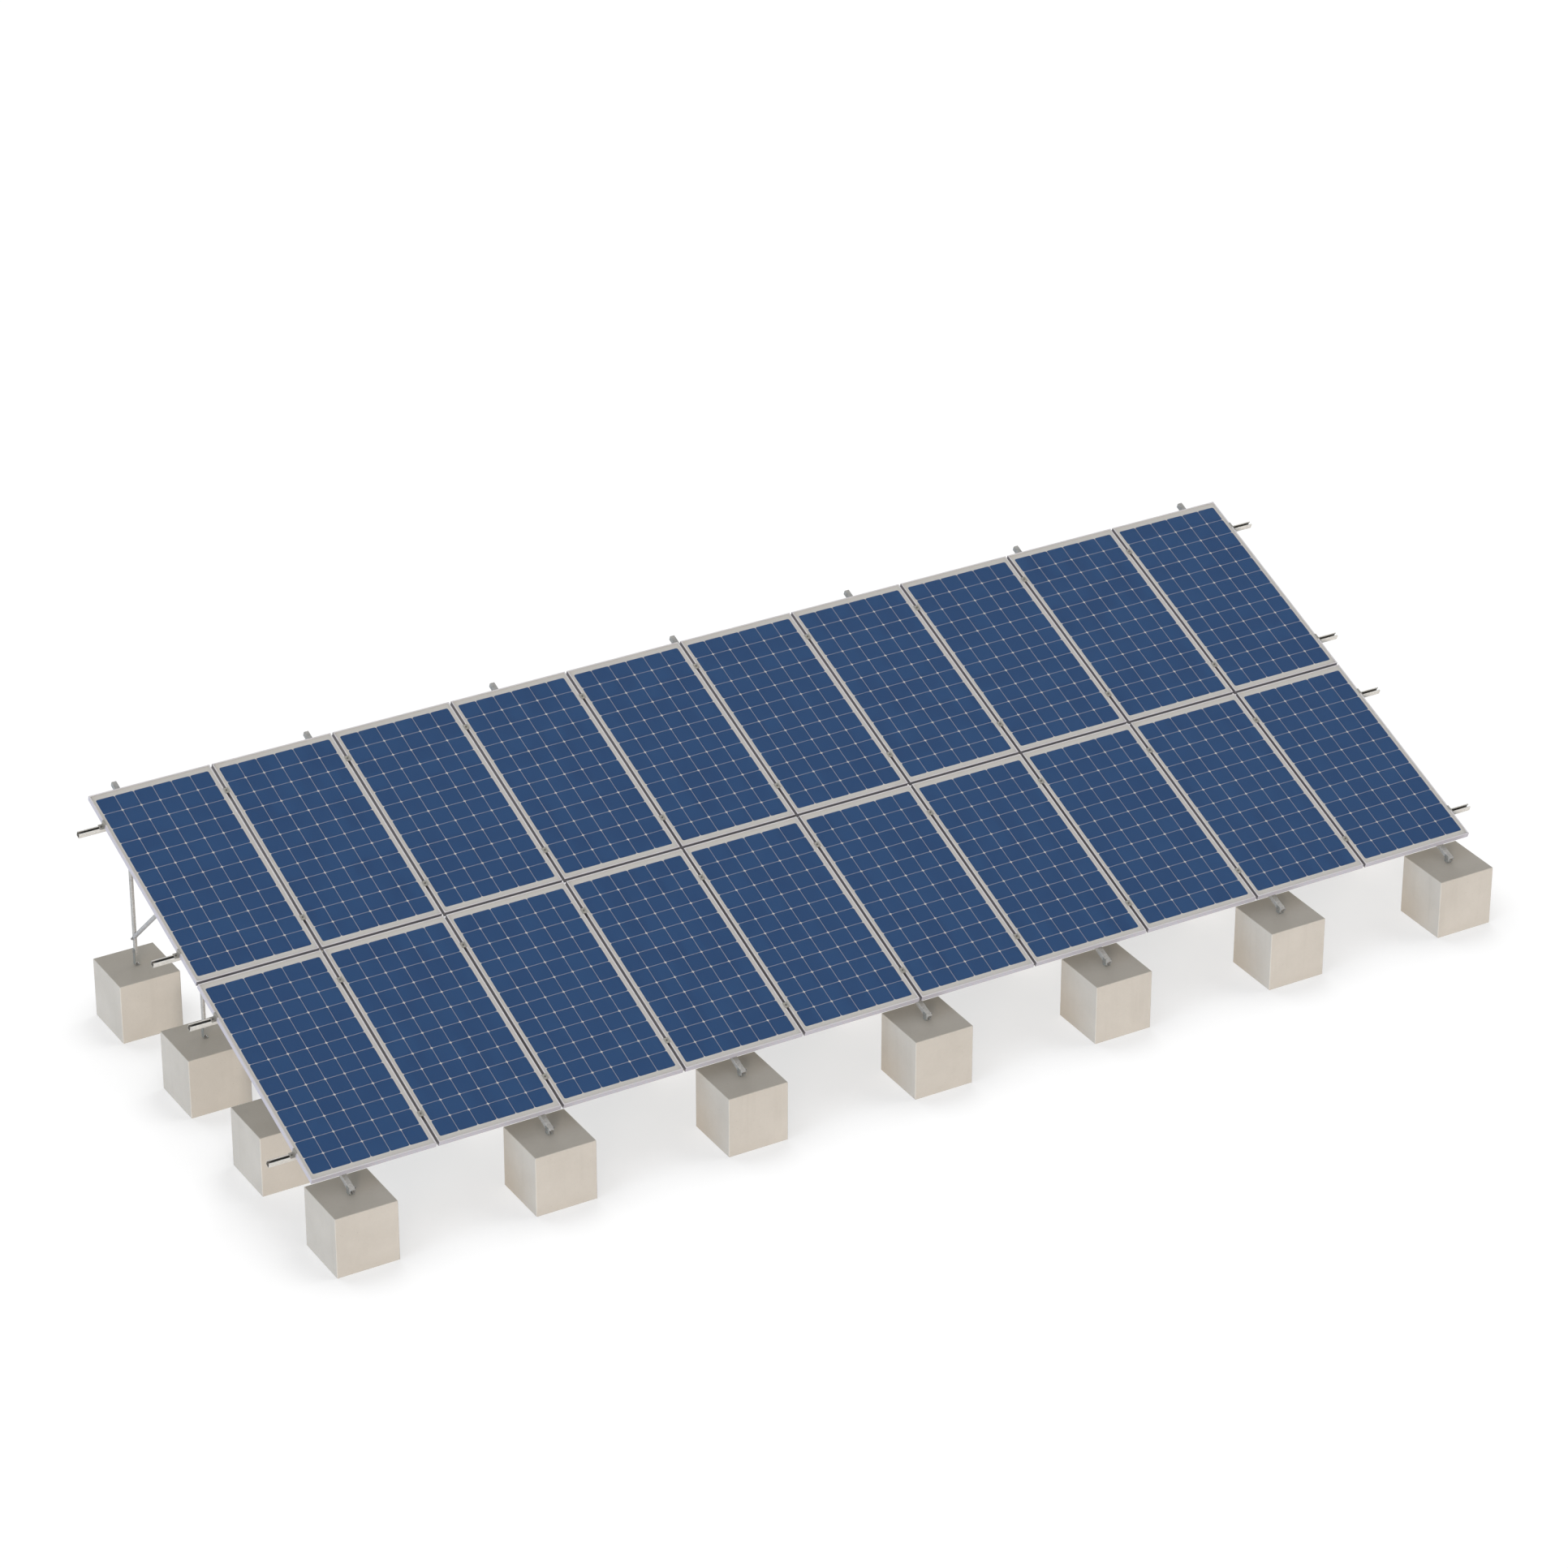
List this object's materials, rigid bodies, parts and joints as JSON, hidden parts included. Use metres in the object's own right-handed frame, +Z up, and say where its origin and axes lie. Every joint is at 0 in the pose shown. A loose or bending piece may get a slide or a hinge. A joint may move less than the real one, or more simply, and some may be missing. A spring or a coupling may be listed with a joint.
{
  "type": "ground-mounted solar panel mounting structure",
  "caption": "Fixed-tilt ground array: two rows of framed modules clamped to slotted rails, carried by sloping rafters on posts, feet and square concrete blocks",
  "frame": {"origin": "on the ground, under the middle of the outline", "axes": "+X along the rails, +Y towards the high rear edge, +Z up"},
  "size_m": [10.51, 4.19, 2.015],
  "materials": {
    "concrete": "cast concrete, matte, lightly stained",
    "galvanised_channel": "galvanised, satin with faint spangle",
    "galvanised_tube": "galvanised, satin",
    "galvanised_plate": "hot dip galvanised, satin",
    "zinc_fasteners": "zinc plated, dull",
    "stainless_steel": "satin",
    "module_frame": "anodised, satin",
    "clamp_aluminium": "mill finish, satin",
    "cover_glass": "clear, faint texture",
    "solar_cells": "dark blue silicon behind glass",
    "backsheet": "white laminate",
    "black_plastic": "moulded, matte"
  },
  "bodies": {
    "root": {"concrete_blocks_row_1": "concrete", "concrete_blocks_row_2": "concrete", "concrete_blocks_row_3": "concrete", "concrete_blocks_row_4": "concrete", "anchor_studs": "stainless_steel", "front_feet": "galvanised_plate", "post_feet": "galvanised_plate", "posts_row_2": "galvanised_channel", "posts_row_3": "galvanised_channel", "posts_row_4": "galvanised_channel", "braces": "galvanised_tube", "rafter_1": "galvanised_channel", "rafter_2": "galvanised_channel", "rafter_3": "galvanised_channel", "rafter_4": "galvanised_channel", "rafter_5": "galvanised_channel", "rafter_6": "galvanised_channel", "rafter_7": "galvanised_channel", "rail_1": "galvanised_channel", "rail_2": "galvanised_channel", "rail_3": "galvanised_channel", "rail_4": "galvanised_channel", "long_bolts": "zinc_fasteners", "short_bolts": "zinc_fasteners", "hex_nuts": "zinc_fasteners", "flat_washers": "zinc_fasteners", "module_frame_1": "module_frame", "module_frame_2": "module_frame", "module_frame_3": "module_frame", "module_frame_4": "module_frame", "module_frame_5": "module_frame", "module_frame_6": "module_frame", "module_frame_7": "module_frame", "module_frame_8": "module_frame", "module_frame_9": "module_frame", "module_frame_10": "module_frame", "module_frame_11": "module_frame", "module_frame_12": "module_frame", "module_frame_13": "module_frame", "module_frame_14": "module_frame", "module_frame_15": "module_frame", "module_frame_16": "module_frame", "module_frame_17": "module_frame", "module_frame_18": "module_frame", "module_frame_19": "module_frame", "module_frame_20": "module_frame", "frame_corner_keys": "module_frame", "glass_panes": "cover_glass", "cell_strings_lower": "solar_cells", "cell_strings_upper": "solar_cells", "backsheets": "backsheet", "junction_boxes": "black_plastic", "junction_box_lids": "black_plastic", "cable_glands": "black_plastic", "middle_clamps": "clamp_aluminium", "end_clamps": "clamp_aluminium", "middle_clamp_bolts": "stainless_steel", "end_clamp_bolts": "stainless_steel", "channel_nuts": "stainless_steel"}
  },
  "joints": []
}
